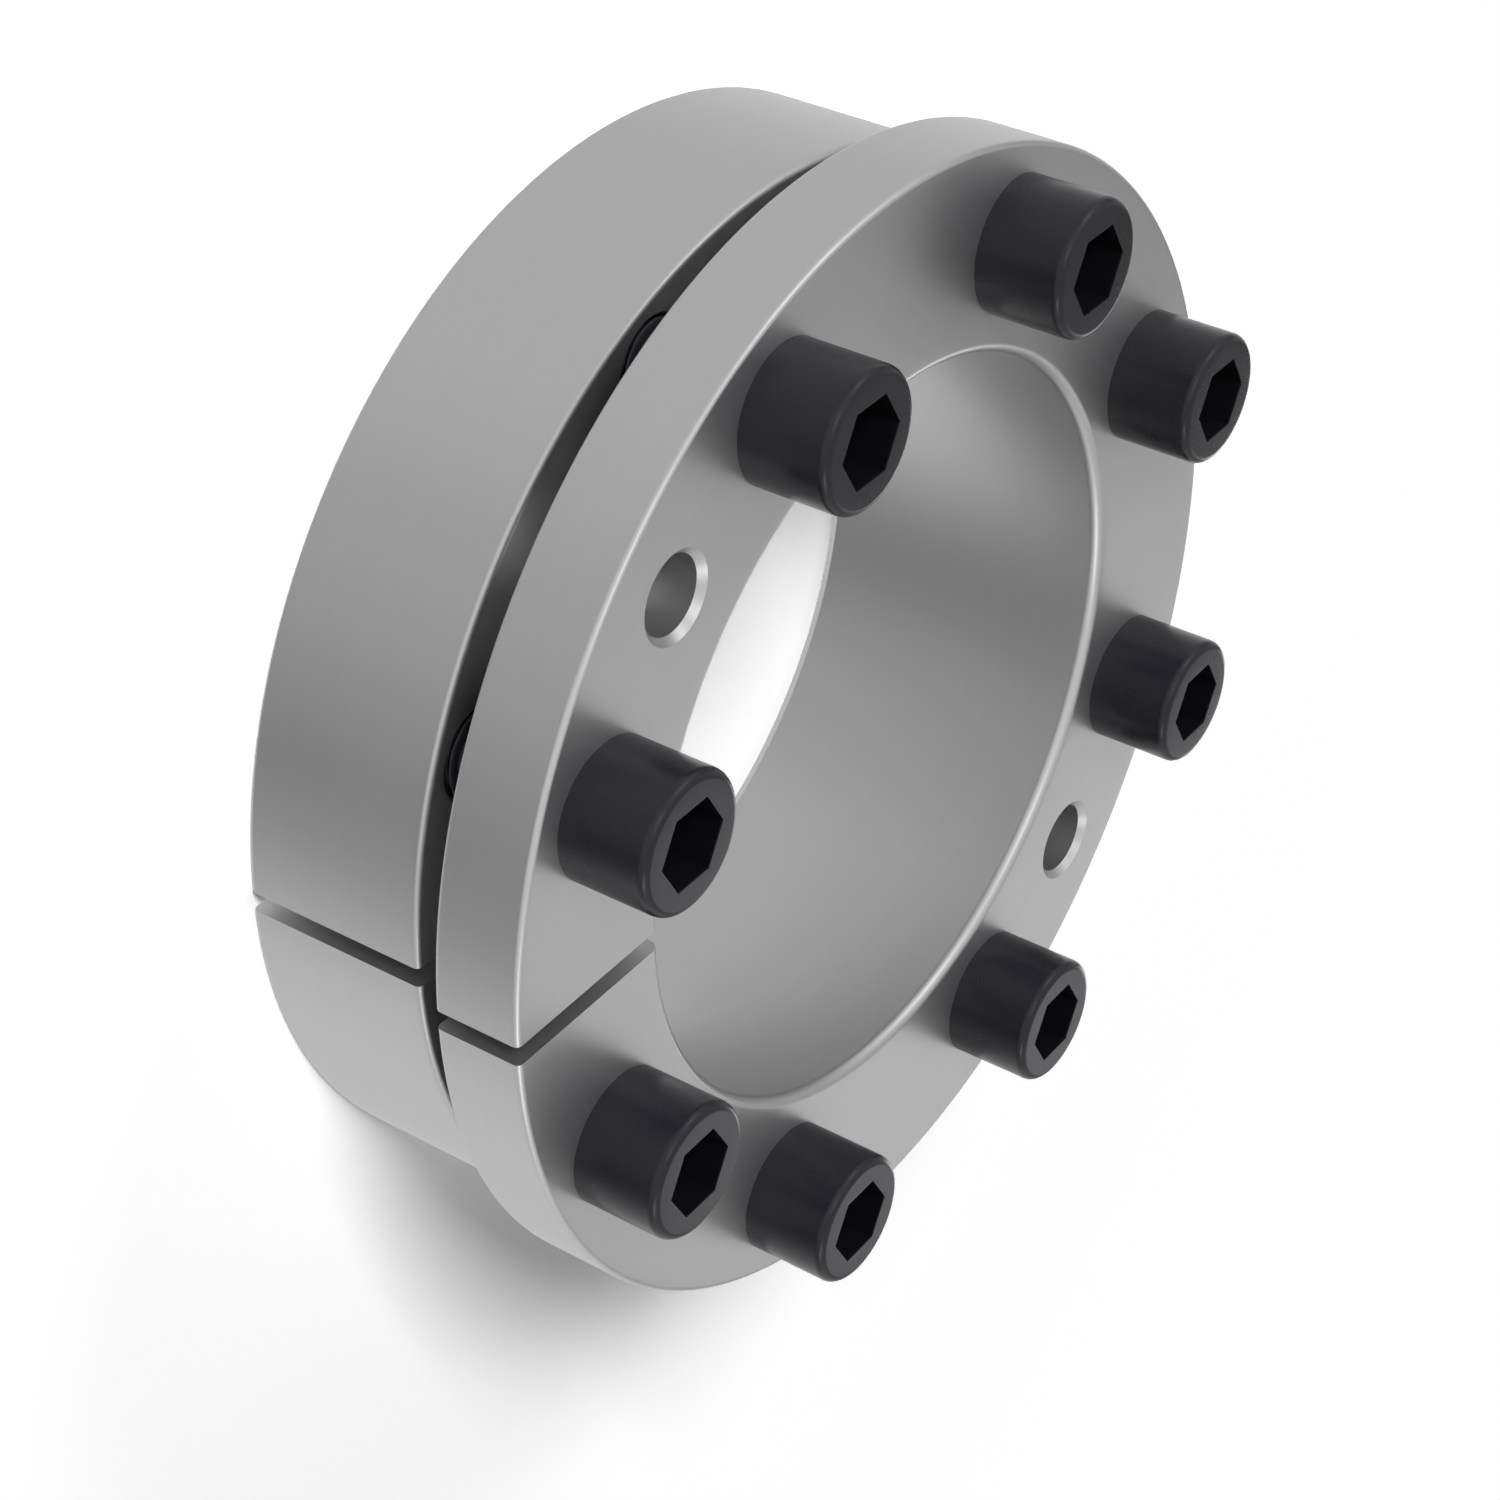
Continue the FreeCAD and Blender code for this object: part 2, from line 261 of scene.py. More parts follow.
def ring_angles(radii, half_slit, positions):
    """Angles round a slit ring, one row for each position u and one column for each radius r.

    The angle is the slit's plus u sectors. In the first and last half sector it is spread
    between that sector's edge and the slit's flat wall, which lies asin(half_slit / r) from
    the slit's middle."""
    radii = np.atleast_1d(radii)[None, :]
    u = np.asarray(positions, float)[:, None]
    wall = np.arcsin(half_slit / radii)
    edge = SECTOR / 2
    first = wall + (edge - wall) * u / 0.5
    last = SECTORS * SECTOR - (wall + (edge - wall) * (SECTORS - u) / 0.5)
    middle = np.broadcast_to(u * SECTOR, first.shape)
    return SLIT_ANGLE + np.where(u < 0.5, first, np.where(u > SECTORS - 0.5, last, middle))


def turned(profile, half_slit, positions):
    """A profile of (r, z) points carried round the axis: x = r cos a, y = r sin a, z = z, with
    the angle a from ring_angles."""
    profile = np.asarray(profile, float)
    angle = ring_angles(profile[:, 0], half_slit, positions)
    radius = np.broadcast_to(profile[:, 0], angle.shape)
    height = np.broadcast_to(profile[:, 1], angle.shape)
    return np.stack([radius * np.cos(angle), radius * np.sin(angle), height], 2)


def thread_wave(height, angle, pitch):
    """A right-hand thread's form, from minus one in its root to plus one on its crest: a
    cosine of height / pitch - angle / turn, flattened by a hyperbolic tangent."""
    phase = 2 * np.pi * height / pitch - angle
    return np.tanh(CREST_FLATNESS * np.cos(phase)) / math.tanh(CREST_FLATNESS)


class Surface:
    """Collects patches of one piece as vertices and faces."""

    def __init__(self):
        self.points = []
        self.faces = []
        self.count = 0

    def add_points(self, points):
        """Take in points and return the number of the first."""
        start = self.count
        self.points.append(np.reshape(points, (-1, 3)))
        self.count += len(self.points[-1])
        return start

    def add_grid(self, grid):
        """Quads between the rows and columns of a grid of points."""
        rows, columns = grid.shape[:2]
        start = self.add_points(grid)
        number = start + np.arange(rows * columns).reshape(rows, columns)
        quads = np.stack([number[:-1, :-1], number[1:, :-1], number[1:, 1:],
                          number[:-1, 1:]], 2)
        self.faces.extend(quads.reshape(-1, 4).tolist())

    def add_tube(self, grid):
        """A grid whose last column is joined to its first."""
        self.add_grid(np.concatenate([grid, grid[:, :1]], 1))

    def add_polygon(self, loop):
        """One flat face through a loop of points."""
        start = self.add_points(loop)
        self.faces.append(list(range(start, start + len(loop))))

    def make_piece(self, name, body, slot, material, *nodes):
        """Weld the patches into one closed mesh that stands for these nodes."""
        mesh = bpy.data.meshes.new(name)
        mesh.from_pydata(np.concatenate(self.points), [], self.faces)
        shell = bmesh.new()
        shell.from_mesh(mesh)
        bmesh.ops.remove_doubles(shell, verts=shell.verts, dist=WELD)
        bmesh.ops.triangulate(shell, faces=[face for face in shell.faces if len(face.verts) > 4])
        bmesh.ops.recalc_face_normals(shell, faces=shell.faces)
        open_edges = sum(len(edge.link_faces) != 2 for edge in shell.edges)
        volume = shell.calc_volume(signed=True)
        if open_edges or volume <= 0:
            raise RuntimeError(f"{name}: {open_edges} open edges, volume {volume}")
        shell.to_mesh(mesh)
        shell.free()
        mesh.polygons.foreach_set("use_smooth", np.ones(len(mesh.polygons), bool))
        mesh.set_sharp_from_angle(angle=SHARP_ANGLE)
        mesh.materials.append(material)
        piece = bpy.data.objects.new(name, mesh)
        bpy.context.scene.collection.objects.link(piece)
        even = piece.modifiers.new("Even shading", "WEIGHTED_NORMAL")
        even.keep_sharp = True
        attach(piece, body)
        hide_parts(*nodes)


# Rings

def all_round():
    """Positions round a whole ring, from one wall of the slit to the other."""
    return linear_steps(0, SECTORS, SECTORS * ROUND_STEPS)


def sector_positions(number):
    """Positions across one sector; the slit takes the place of number zero."""
    return linear_steps(number - 0.5, number + 0.5, ROUND_STEPS)


def hole_centre(number):
    """Centre of the hole in the middle of a sector."""
    angle = SLIT_ANGLE + number * SECTOR
    return np.array([CIRCLE_RADIUS * math.cos(angle), CIRCLE_RADIUS * math.sin(angle)])


def sector_outline(number, half_slit, low, high, height):
    """The closed outline of a sector of a flat face: its inner arc, a side, its outer arc and
    the other side, each point once."""
    across = linear_steps(low, high, ACROSS_STEPS)
    place = sector_positions(number)
    arcs = turned([(low, height), (high, height)], half_slit, place)
    sides = turned([(radius, height) for radius in across], half_slit, place[[0, -1]])
    return np.concatenate([arcs[:-1, 0], sides[1, :-1], arcs[:0:-1, 1], sides[0, :0:-1]])


def outline_angles(outline, centre):
    """Direction from a hole's centre to each point of the outline round it, unwrapped."""
    away = outline[:, :2] - centre
    return np.unwrap(np.arctan2(away[:, 1], away[:, 0]))


def hole_wall(centre, angles, rows):
    """A hole's wall: rows of (radius at each angle, height) turned about the hole's centre."""
    return np.stack([
        np.stack([centre[0] + radius * np.cos(angles), centre[1] + radius * np.sin(angles),
                  np.full(len(angles), height)], 1)
        for radius, height in rows])


def add_face(surface, half_slit, low, high, height, holes, directions):
    """A flat ring face between two radii. A sector with a hole is filled with quads from its
    outline to the hole's rim; the others are plain grids."""
    for number in range(1, SECTORS):
        if number in holes:
            outline = sector_outline(number, half_slit, low, high, height)
            centre = hole_centre(number)
            rim = hole_wall(centre, directions[number], [(holes[number], height)])[0]
            surface.add_tube(np.stack([outline, rim]))
        else:
            add_plain_sector(surface, half_slit, low, high, height, sector_positions(number))
    half = ROUND_STEPS // 2
    add_plain_sector(surface, half_slit, low, high, height, linear_steps(0, 0.5, half))
    add_plain_sector(surface, half_slit, low, high, height,
                     linear_steps(SECTORS - 0.5, SECTORS, half))


def add_plain_sector(surface, half_slit, low, high, height, positions):
    """A sector of a flat face without a hole, as a grid of radius and position."""
    profile = [(radius, height) for radius in linear_steps(low, high, ACROSS_STEPS)]
    surface.add_grid(turned(profile, half_slit, positions))


def add_slit_walls(surface, half_slit, outline):
    """The flat walls of the slit: the ring's closed outline, at the first and last position."""
    for position in (0, SECTORS):
        surface.add_polygon(turned(outline, half_slit, [position])[0])


def flat_run(first, last):
    """Points of a flat face's outline, with the same steps as the face itself."""
    return np.stack([linear_steps(first[0], last[0], ACROSS_STEPS),
                     linear_steps(first[1], last[1], ACROSS_STEPS)], 1)


def threaded_rows(low, high, wall, depth, pitch, angles, chamfer, start, end):
    """Rows of a tapped hole's wall from low to high, with a chamfer at both mouths. Between
    start and end a thread is cut into the wall, or stands on it where the depth is negative;
    it fades over half a pitch at both ends."""
    mouth = np.full(len(angles), wall + chamfer)
    steps = round((high - low - 2 * chamfer) / pitch * PITCH_STEPS)
    rows = [(mouth, low)]
    for height in linear_steps(low + chamfer, high - chamfer, steps):
        fade = min(1.0, max(0.0, 2 * min(height - start, end - height) / pitch))
        cut = depth * fade * (0.5 + 0.5 * thread_wave(height, angles, pitch))
        opening = wall + chamfer - min(height - low, high - height)
        rows.append((np.maximum(wall + cut, opening), height))
    rows.append((mouth, high))
    return rows


def plain_rows(low, high, radius):
    """Rows of a plain hole."""
    return [(radius, low), (radius, high)]


def inner_outline(sizes):
    """The inner ring's closed outline in (r, z), as named runs from the bore's rear edge up
    the taper, round the flange and back down the bore."""
    rear = sizes.flange_front - sizes.flange_thickness
    taper_end = rear - sizes.relief_width
    slope = math.tan(sizes.taper_angle)
    small = sizes.taper_radius - taper_end * slope
    relief = sizes.taper_radius - sizes.relief_depth
    chamfer, rounding = sizes.taper_chamfer, sizes.edge_round
    lead = sizes.bore_chamfer
    sleeve = [(sizes.bore_radius + lead, 0), (small - chamfer, 0),
              (small + chamfer * math.sin(sizes.taper_angle),
               chamfer * math.cos(sizes.taper_angle)),
              (sizes.taper_radius, taper_end), (relief, taper_end), (relief, rear)]
    back = flat_run((relief, rear), (sizes.flange_radius - rounding, rear))
    centre = sizes.flange_radius - rounding
    rim = np.concatenate([
        corner_arc((centre, rear + rounding), rounding, -90, 0),
        corner_arc((centre, sizes.flange_front - rounding), rounding, 0, 90)])
    inside = sizes.bore_radius + sizes.bore_round
    front = flat_run((centre, sizes.flange_front), (inside, sizes.flange_front))
    bore = np.concatenate([
        corner_arc((inside, sizes.flange_front - sizes.bore_round), sizes.bore_round, 90, 180),
        [(sizes.bore_radius, lead), (sizes.bore_radius + lead, 0)]])
    return sleeve, back, rim, front, bore


def build_inner_ring(sizes, screw, material):
    """The flange and its tapered sleeve, with plain screw holes and tapped jacking holes."""
    half_slit = sizes.slit_width / 2
    sleeve, back, rim, front, bore = inner_outline(sizes)
    surface = Surface()
    for run in (sleeve, rim, bore):
        surface.add_grid(turned(run, half_slit, all_round()))
    low, high = back[0, 1], front[0, 1]
    core = mounts["jacking_hole_1"]["dims"]["r_mm"] * MM
    chamfer = sizes.jacking_chamfer
    jacking = {sector_at(mounts[name]["pos_m"]) for name in mounts if "jacking" in name}
    holes = {number: sizes.hole_radius for number in range(1, SECTORS, 2)}
    holes.update({number: core + chamfer for number in jacking})
    inside, outside = front[-1, 0], front[0, 0]
    directions = {
        number: outline_angles(sector_outline(number, half_slit, inside, outside, high),
                               hole_centre(number))
        for number in holes}
    add_face(surface, half_slit, inside, outside, high, holes, directions)
    add_face(surface, half_slit, back[0, 0], outside, low, holes, directions)
    for number, angles in directions.items():
        if number in jacking:
            rows = threaded_rows(low, high, core, screw.thread_depth, screw.pitch, angles,
                                 chamfer, low - screw.pitch, high - sizes.jacking_lead)
        else:
            rows = plain_rows(low, high, sizes.hole_radius)
        surface.add_tube(hole_wall(hole_centre(number), angles, rows))
    add_slit_walls(surface, half_slit, np.concatenate([sleeve, back, rim, front, bore]))
    surface.make_piece("flanged_inner_ring", "inner_ring", "turned_steel", material,
                       "inner_ring")


def sector_at(place):
    """Number of the sector whose middle lies at this place."""
    turn = (math.atan2(place[1], place[0]) - SLIT_ANGLE) % (2 * math.pi)
    return round(turn / SECTOR)


def build_outer_ring(sizes, screw, material):
    """The straight-sided outer ring with its tapered bore and its tapped screw holes."""
    half_slit = sizes.slit_width / 2
    slope = math.tan(sizes.taper_angle)
    taper_end = sizes.flange_front - sizes.flange_thickness - sizes.relief_width
    small = sizes.taper_radius - taper_end * slope + sizes.taper_play
    big = small + sizes.outer_length * slope
    chamfer, rounding, top = sizes.taper_chamfer, sizes.edge_round, sizes.outer_length
    lean = (chamfer * math.sin(sizes.taper_angle), chamfer * math.cos(sizes.taper_angle))
    centre = sizes.hub_radius - rounding
    back = flat_run((small + chamfer, 0), (centre, 0))
    side = np.concatenate([corner_arc((centre, rounding), rounding, -90, 0),
                           corner_arc((centre, top - rounding), rounding, 0, 90)])
    front = flat_run((centre, top), (big + chamfer, top))
    taper = [(big + chamfer, top), (big - lean[0], top - lean[1]),
             (small + lean[0], lean[1]), (small + chamfer, 0)]
    surface = Surface()
    for run in (side, taper):
        surface.add_grid(turned(run, half_slit, all_round()))
    mouth = sizes.tapped_radius + sizes.tapping_chamfer
    holes = {number: mouth for number in range(1, SECTORS, 2)}
    directions = {
        number: outline_angles(sector_outline(number, half_slit, back[0, 0], centre, 0),
                               hole_centre(number))
        for number in holes}
    add_face(surface, half_slit, big + chamfer, centre, top, holes, directions)
    add_face(surface, half_slit, back[0, 0], centre, 0, holes, directions)
    for number, angles in directions.items():
        rows = threaded_rows(0, top, sizes.tapped_radius, -screw.thread_depth, screw.pitch,
                             angles, sizes.tapping_chamfer, -screw.pitch, sizes.bare_thread)
        # Above the bare thread the wall is straight and needs no rows of its own
        straight = sizes.bare_thread + screw.pitch / 2
        rows = [row for row in rows[:-2] if row[1] < straight] + rows[-2:]
        surface.add_tube(hole_wall(hole_centre(number), angles, rows))
    add_slit_walls(surface, half_slit, np.concatenate([back, side, front, taper]))
    surface.make_piece("tapered_outer_ring", "outer_ring", "turned_steel", material,
                       "outer_ring")


# Screws

def screw_rows(sizes, angles):
    """Rows of (radius at each angle, height under the head's seat) of a cap screw, from the
    middle of its end up the threaded shank, over the head and down the hexagon socket."""
    plain = np.ones(len(angles))
    end, crest = -sizes.length, sizes.shank_radius
    rows = [(0 * plain, end), ((crest - sizes.point_chamfer) * plain, end)]
    steps = round(sizes.length / sizes.pitch * PITCH_STEPS)
    for height in linear_steps(end, 0, steps)[1:-1]:
        fade = min(1.0, max(0.0, (-sizes.plain_length - height) / sizes.pitch))
        cut = sizes.thread_depth * fade * (0.5 - 0.5 * thread_wave(height, angles, sizes.pitch))
        point = crest - sizes.point_chamfer + (height - end)
        rows.append((np.minimum(crest - cut, point), height))
    rows.append((crest * plain, 0))
    rows.append((sizes.head_radius * plain, 0))
    inside = sizes.head_radius - sizes.head_round
    arc = corner_arc((inside, sizes.head_height - sizes.head_round), sizes.head_round, 0, 90)
    rows.extend((radius * plain, height) for radius, height in arc)
    sixth = math.pi / 3
    hexagon = sizes.socket_size / 2 / np.cos((angles + sixth / 2) % sixth - sixth / 2)
    bottom = sizes.head_height - sizes.socket_depth
    rows.append((hexagon, sizes.head_height))
    rows.append((hexagon, bottom))
    rows.append((sizes.socket_size * POINT_SHARE * plain, bottom - WELD))
    rows.append((0 * plain, bottom - sizes.socket_point))
    return rows


def build_screws(sizes, material):
    """A cap screw at each screw joint."""
    angles = linear_steps(0, 2 * math.pi, SCREW_COLUMNS)[:-1]
    rows = screw_rows(sizes, angles)
    for joint in screw_joints:
        x, y, seat = joint["pos_m"]
        surface = Surface()
        wall = hole_wall(np.array([x, y]), angles, rows) + np.array([0, 0, seat])
        surface.add_tube(wall)
        node = joint["child"]
        surface.make_piece(f"cap_{node}", node, "black_oxide", material, node)


# Finishes

# Scales of the steel's patterns: lathe lines, bands of tone, clouds and grain
LINE_SCALE, BAND_SCALE, CLOUD_SCALE, GRAIN_SCALE = 2600.0, 320.0, 38.0, 2200.0
# The same for the clouds and the grain of the black oxide
OXIDE_CLOUD_SCALE, OXIDE_GRAIN_SCALE = 160.0, 3000.0
# Darkest and lightest share of each finish's colour, and the share in the sockets, which is
# painted shade
STEEL_TONES = (0.96, 1.04)
OXIDE_TONES = (0.92, 1.08)
SOCKET_SHADE_TONE = 0.3
# How metallic the steel is: a film of oil and oxide scatters a little light
STEEL_METALLIC = 0.93
# How far clouds, lathe lines and grain change the roughness
CLOUD_GLOSS, LINE_GLOSS, GRAIN_GLOSS = 0.05, 0.05, 0.02
# Strength of the bump on each finish, and its height in metres
STEEL_BUMP, OXIDE_BUMP = 0.15, 0.04
BUMP_HEIGHT = 0.00001
# How far below a screw's top the painted shade in its socket begins
SOCKET_SHADE_LIP = 0.0002


class Expression:
    """A shader socket that adds its own maths nodes when it is used in an expression."""

    def __init__(self, tree, socket):
        self.tree = tree
        self.socket = socket

    def maths(self, operation, *others):
        """A Math node on this value and up to two others."""
        return self.tree.node("ShaderNodeMath", {"operation": operation}, self, *others)

    def clamped(self):
        """The value held between zero and one."""
        return self.maths("MAXIMUM", 0.0).maths("MINIMUM", 1.0)

    def __add__(self, other):
        return self.maths("ADD", other)

    def __sub__(self, other):
        return self.maths("SUBTRACT", other)

    def __rsub__(self, other):
        return self.tree.node("ShaderNodeMath", {"operation": "SUBTRACT"}, other, self)

    def __mul__(self, other):
        return self.maths("MULTIPLY", other)

    def __truediv__(self, other):
        return self.maths("DIVIDE", other)

    def power(self, exponent):
        """This value to a power."""
        return self.maths("POWER", exponent)

    __radd__ = __add__
    __rmul__ = __mul__


class Tree:
    """A node tree with one method that adds any node."""

    def __init__(self, owner):
        owner.use_nodes = True
        self.nodes = owner.node_tree.nodes
        self.links = owner.node_tree.links
        self.nodes.clear()

    def add(self, kind, settings=None, *values, **named):
        """Add a node, set its settings, then fill its sockets with values or links."""
        node = self.nodes.new(kind)
        for key, value in (settings or {}).items():
            if key == "stops":
                for place, (position, colour) in enumerate(value):
                    stops = node.color_ramp.elements
                    stop = stops[place] if place < len(stops) else stops.new(position)
                    stop.position, stop.color = position, colour
            else:
                setattr(node, key, value)
        sockets = list(enumerate(values))
        sockets += [(key.replace("_", " "), value) for key, value in named.items()]
        for key, value in sockets:
            if isinstance(value, Expression):
                self.links.new(value.socket, node.inputs[key])
            else:
                node.inputs[key].default_value = value
        return node

    def node(self, kind, settings=None, *values, output=0, **named):
        """The same, returning one output as an expression."""
        return Expression(self, self.add(kind, settings, *values, **named).outputs[output])

    def coordinates(self):
        """Object coordinates, whole and as x, y and z."""
        place = self.node("ShaderNodeTexCoord", output="Object")
        parts = self.add("ShaderNodeSeparateXYZ", None, place)
        return place, *(Expression(self, parts.outputs[axis]) for axis in "XYZ")

    def mix(self, factor, first, second):
        """A blend of two colours."""
        mixer = self.nodes.new("ShaderNodeMix")
        mixer.data_type = "RGBA"
        for place, value in zip((0, 6, 7), (factor, first, second)):
            if isinstance(value, Expression):
                self.links.new(value.socket, mixer.inputs[place])
            else:
                mixer.inputs[place].default_value = value
        return Expression(self, mixer.outputs[2])


def colour_of(values, share=1.0):
    """A colour with its alpha, lightened or darkened by a share."""
    return [channel * share for channel in values] + [1.0]


def turned_steel(finish):
    """Turned steel: fine lathe lines and wider bands of tone that follow radius plus height, a
    slow cloudiness in tone and gloss, and a fine grain in the bump."""
    material = bpy.data.materials.new("turned steel")
    tree = Tree(material)
    place, x, y, z = tree.coordinates()
    lathe = (x * x + y * y).power(0.5) + z
    lines = tree.node("ShaderNodeTexNoise", {"noise_dimensions": "1D"}, W=lathe,
                      Scale=LINE_SCALE, Detail=3.0, Roughness=0.7)
    bands = tree.node("ShaderNodeTexNoise", {"noise_dimensions": "1D"}, W=lathe,
                      Scale=BAND_SCALE, Detail=2.0)
    clouds = tree.node("ShaderNodeTexNoise", None, place, Scale=CLOUD_SCALE, Detail=4.0)
    grain = tree.node("ShaderNodeTexNoise", None, place, Scale=GRAIN_SCALE, Detail=2.0)
    tone = clouds * 0.7 + bands * 0.3
    dark, light = (colour_of(finish.steel_colour, share) for share in STEEL_TONES)
    colour = tree.mix(tone, dark, light)
    gloss = (clouds - 0.5) * CLOUD_GLOSS + (lines - 0.5) * LINE_GLOSS + finish.steel_roughness
    height = lines * 0.7 + grain * 0.3
    bump = tree.node("ShaderNodeBump", None, Height=height, Strength=STEEL_BUMP,
                     Distance=BUMP_HEIGHT)
    shader = tree.node("ShaderNodeBsdfPrincipled", None, Base_Color=colour,
                       Metallic=STEEL_METALLIC, Roughness=gloss, Normal=bump)
    tree.add("ShaderNodeOutputMaterial", None, shader)
    return material


def socket_shade_mask(x, y, z):
    """Mask of the painted shade in the screws' hexagon sockets: one inside them and zero
    elsewhere. The direction from the axis is folded into one step of the screw circle, and the
    distance is taken to that step's screw."""
    step = 2 * math.pi / len(screw_joints)
    turn = y.maths("ARCTAN2", x) - (SLIT_ANGLE + step / 2)
    away = turn - (turn / step + 0.5).maths("FLOOR") * step
    radius = (x * x + y * y).power(0.5)
    along = radius * away.maths("COSINE") - CIRCLE_RADIUS
    across = radius * away.maths("SINE")
    sizes = bpy.context.scene.locking_screws
    corner = sizes.socket_size / math.sqrt(3) + WELD
    near = (along * along + across * across).maths("LESS_THAN", corner ** 2)
    low = screw_high.z - sizes.socket_depth - sizes.socket_point - WELD
    return near * z.maths("GREATER_THAN", low) * z.maths("LESS_THAN", screw_high.z - SOCKET_SHADE_LIP)


def black_oxide(finish):
    """Black oxide on steel: near black with a cold cast, an oily sheen that varies a little, and
    a fine grain. In the sockets a darker, matt copy is mixed in as painted shade."""
    material = bpy.data.materials.new("black oxide")
    tree = Tree(material)
    place, x, y, z = tree.coordinates()
    clouds = tree.node("ShaderNodeTexNoise", None, place, Scale=OXIDE_CLOUD_SCALE, Detail=4.0)
    grain = tree.node("ShaderNodeTexNoise", None, place, Scale=OXIDE_GRAIN_SCALE, Detail=2.0)
    dark, light = (colour_of(finish.oxide_colour, share) for share in OXIDE_TONES)
    colour = tree.mix(clouds, dark, light)
    gloss = (clouds - 0.5) * CLOUD_GLOSS + (grain - 0.5) * GRAIN_GLOSS + finish.oxide_roughness
    bump = tree.node("ShaderNodeBump", None, Height=grain, Strength=OXIDE_BUMP,
                     Distance=BUMP_HEIGHT)
    shader = tree.node("ShaderNodeBsdfPrincipled", None, Base_Color=colour, IOR=1.37,
                       Roughness=gloss, Normal=bump)
    # A darker, matt copy of the oxide: painted shade for the depths of the sockets
    socket = tree.node("ShaderNodeBsdfPrincipled", None, IOR=1.15, Roughness=0.8,
                       Base_Color=colour_of(finish.oxide_colour, SOCKET_SHADE_TONE))
    # The mask mixes the painted shade into the sockets
    surface = tree.node("ShaderNodeMixShader", None, socket_shade_mask(x, y, z), shader, socket)
    tree.add("ShaderNodeOutputMaterial", None, surface)
    return material


def found_material(name, maker):
    """A finish by name, made the first time it is wanted."""
    return bpy.data.materials.get(name) or maker(bpy.context.scene.locking_finishes)


# Studio

# What polished surfaces see, as a tone at each direction from the axis, in degrees from plus X:
# the ground below the horizon, a lower and an upper band of the sky, and its top
GROUND = ((-180, 0.76), (-160, 0.76), (-140, 0.59), (-120, 0.6), (-100, 0.5), (-80, 0.2),
          (-60, 0.41), (-40, 0.93), (-20, 1.0), (0, 0.96), (20, 0.83), (40, 0.9), (60, 1.0),
          (80, 1.0), (100, 0.84), (120, 0.7), (140, 0.76), (160, 0.74), (180, 0.76))
LOW_SKY = ((-180, 0.62), (-135, 1.0), (-90, 1.0), (-45, 0.65), (0, 1.0), (25, 0.51), (35, 0.22),
           (45, 1.0), (55, 0.0), (65, 0.0), (75, 0.44), (85, 0.69), (95, 0.11), (135, 1.0),
           (180, 0.62))
HIGH_SKY = ((-180, 1.0), (-90, 1.0), (-45, 0.7), (0, 0.84), (45, 0.41), (90, 0.62), (135, 1.0),
            (180, 1.0))
SKY_TOP = 0.85
# The floor's divisions, how far it lies below the part, its real colour, and the radii between
# which it turns plain white for the camera
FLOOR_STEPS = 8
FLOOR_DROP = 0.0001
FLOOR_COLOUR = 0.8
FAR_START, FAR_END = 0.15, 0.3
# Elevations in degrees between which the ground and the bands pass into each other
GROUND_END, LOW_START, LOW_END, HIGH_START, HIGH_END = -8, 4, 10, 40, 70
# Name, direction and elevation in degrees, distance and size in metres, power in watts, and
# whether the lamp shows in polished surfaces, where it doesn't light matt ones
LAMPS = (("key lamp", 207, 35, 4.0, 1.2, 130.0, False),
         ("side lamp", 145, 28, 4.0, 1.5, 34.0, False),
         ("low front lamp", 55, 8, 1.0, 0.25, 0.57, True),
         ("front lamp", 40, 30, 1.0, 0.25, 0.15, True),
         ("edge lamp", -40, 41, 1.0, 0.3, 0.9, True),
         ("far lamp", 150, 42, 1.0, 0.35, 0.7, True),
         ("top lamp", 215, 60, 1.0, 0.35, 0.7, True))
# The point that all lamps face
LAMP_AIM = (0, 0, 0.03)
# The camera's sensor in millimetres, and the nearest that it sees in metres
SENSOR_WIDTH = 36.0
NEAR_CLIP = 0.01


def direction_tones(tree, x, y, stops):
    """Tone for each direction round the axis: the ramp's stops are given in degrees, and the
    direction is arctan2(y, x) as a share of a turn."""
    turn = y.maths("ARCTAN2", x) / (2 * math.pi) + 0.5
    return tree.node("ShaderNodeValToRGB", {"stops": [
        ((angle + 180) / 360, colour_of([tone] * 3)) for angle, tone in stops]}, turn)


def floor_material(settings):
    """White matt floor. The camera sees it brighter, so that it is plain white outside the
    part's shadow and far away, and glossy rays pass through it to the world's ground."""
    material = bpy.data.materials.new("studio floor")
    tree = Tree(material)
    matt = tree.node("ShaderNodeBsdfDiffuse", None, Color=colour_of([FLOOR_COLOUR] * 3))
    seen_matt = tree.node("ShaderNodeBsdfDiffuse", None,
                          Color=colour_of([settings.floor_white] * 3))
    x, y = tree.coordinates()[1:3]
    radius = (x * x + y * y).power(0.5)
    far = ((radius - FAR_START) / (FAR_END - FAR_START)).clamped()
    white = tree.node("ShaderNodeEmission", None, Strength=1.0)
    open_floor = tree.node("ShaderNodeBsdfTransparent")
    path = tree.add("ShaderNodeLightPath")
    seen = Expression(tree, path.outputs["Is Camera Ray"])
    glossy = Expression(tree, path.outputs["Is Glossy Ray"])
    distant = tree.node("ShaderNodeMixShader", None, far, seen_matt, white)
    straight = tree.node("ShaderNodeMixShader", None, seen, matt, distant)
    surface = tree.node("ShaderNodeMixShader", None, glossy, straight, open_floor)
    tree.add("ShaderNodeOutputMaterial", None, surface)
    return material


def build_floor(settings):
    """A square floor, as a grid of two parameters at one height a hair below the part."""
    side = linear_steps(-settings.floor_size / 2, settings.floor_size / 2, FLOOR_STEPS)
    x, y = np.meshgrid(side, side)
    surface = Surface()
    surface.add_grid(np.stack([x, y, np.full_like(x, -FLOOR_DROP)], 2))
    mesh = bpy.data.meshes.new("studio_floor")
    mesh.from_pydata(np.concatenate(surface.points), [], surface.faces)
    mesh.materials.append(floor_material(settings))
    floor = bpy.data.objects.new("studio_floor", mesh)
    bpy.context.scene.collection.objects.link(floor)


